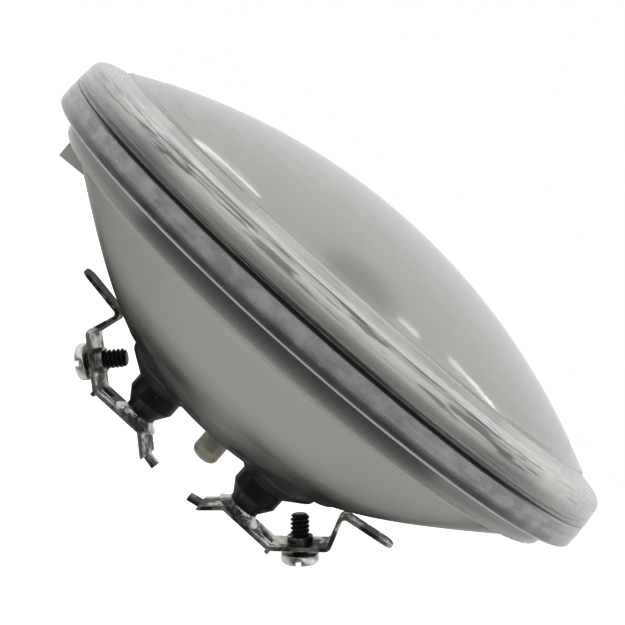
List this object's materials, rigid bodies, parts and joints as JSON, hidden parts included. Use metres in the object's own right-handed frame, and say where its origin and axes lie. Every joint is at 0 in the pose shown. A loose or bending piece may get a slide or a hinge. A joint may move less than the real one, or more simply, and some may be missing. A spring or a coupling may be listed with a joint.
{
  "type": "sealed beam headlamp",
  "caption": "Round sealed beam lamp: a shallow domed glass lens fused to an aluminised glass bowl, with the filament inside and folded screw terminals on the back.",
  "frame": {"origin": "on the optical axis, in the middle of the straight band round the rim", "axes": "+Z along the optical axis, out through the lens; X through the two terminals, with the right-hand terminal at +X"},
  "size_m": [0.1142, 0.1142, 0.0643],
  "materials": {
    "lens_glass": "pressed glass, lightly stippled inside",
    "reflector_glass": "pressed glass, aluminised inside",
    "exhaust_glass": "fire polished",
    "ferrule_metal": "blackened by the sealing flame",
    "solder_tin": "bright tin",
    "lead_metal": "plain nickel",
    "filament_metal": "drawn tungsten",
    "strip_metal": "nickel plated, tarnished",
    "screw_metal": "nickel plated"
  },
  "bodies": {
    "lamp": {"lens": "lens_glass", "reflector": "reflector_glass", "exhaust_tip": "exhaust_glass", "ferrule_left": "ferrule_metal", "ferrule_right": "ferrule_metal", "solder_left": "solder_tin", "solder_right": "solder_tin", "lead_post_left": "lead_metal", "lead_post_right": "lead_metal", "filament": "filament_metal", "terminal_strip_left": "strip_metal", "terminal_strip_right": "strip_metal"},
    "screw_left": {"terminal_screw_left": "screw_metal"},
    "screw_right": {"terminal_screw_right": "screw_metal"}
  },
  "joints": [
    {"name": "screw_left_travel", "type": "slide", "parent": "lamp", "child": "screw_left", "axis": [-0.6691, 0, -0.7431], "range_m": [-0.001, 0.004]},
    {"name": "screw_right_travel", "type": "slide", "parent": "lamp", "child": "screw_right", "axis": [0.6691, 0, -0.7431], "range_m": [-0.001, 0.004]}
  ]
}
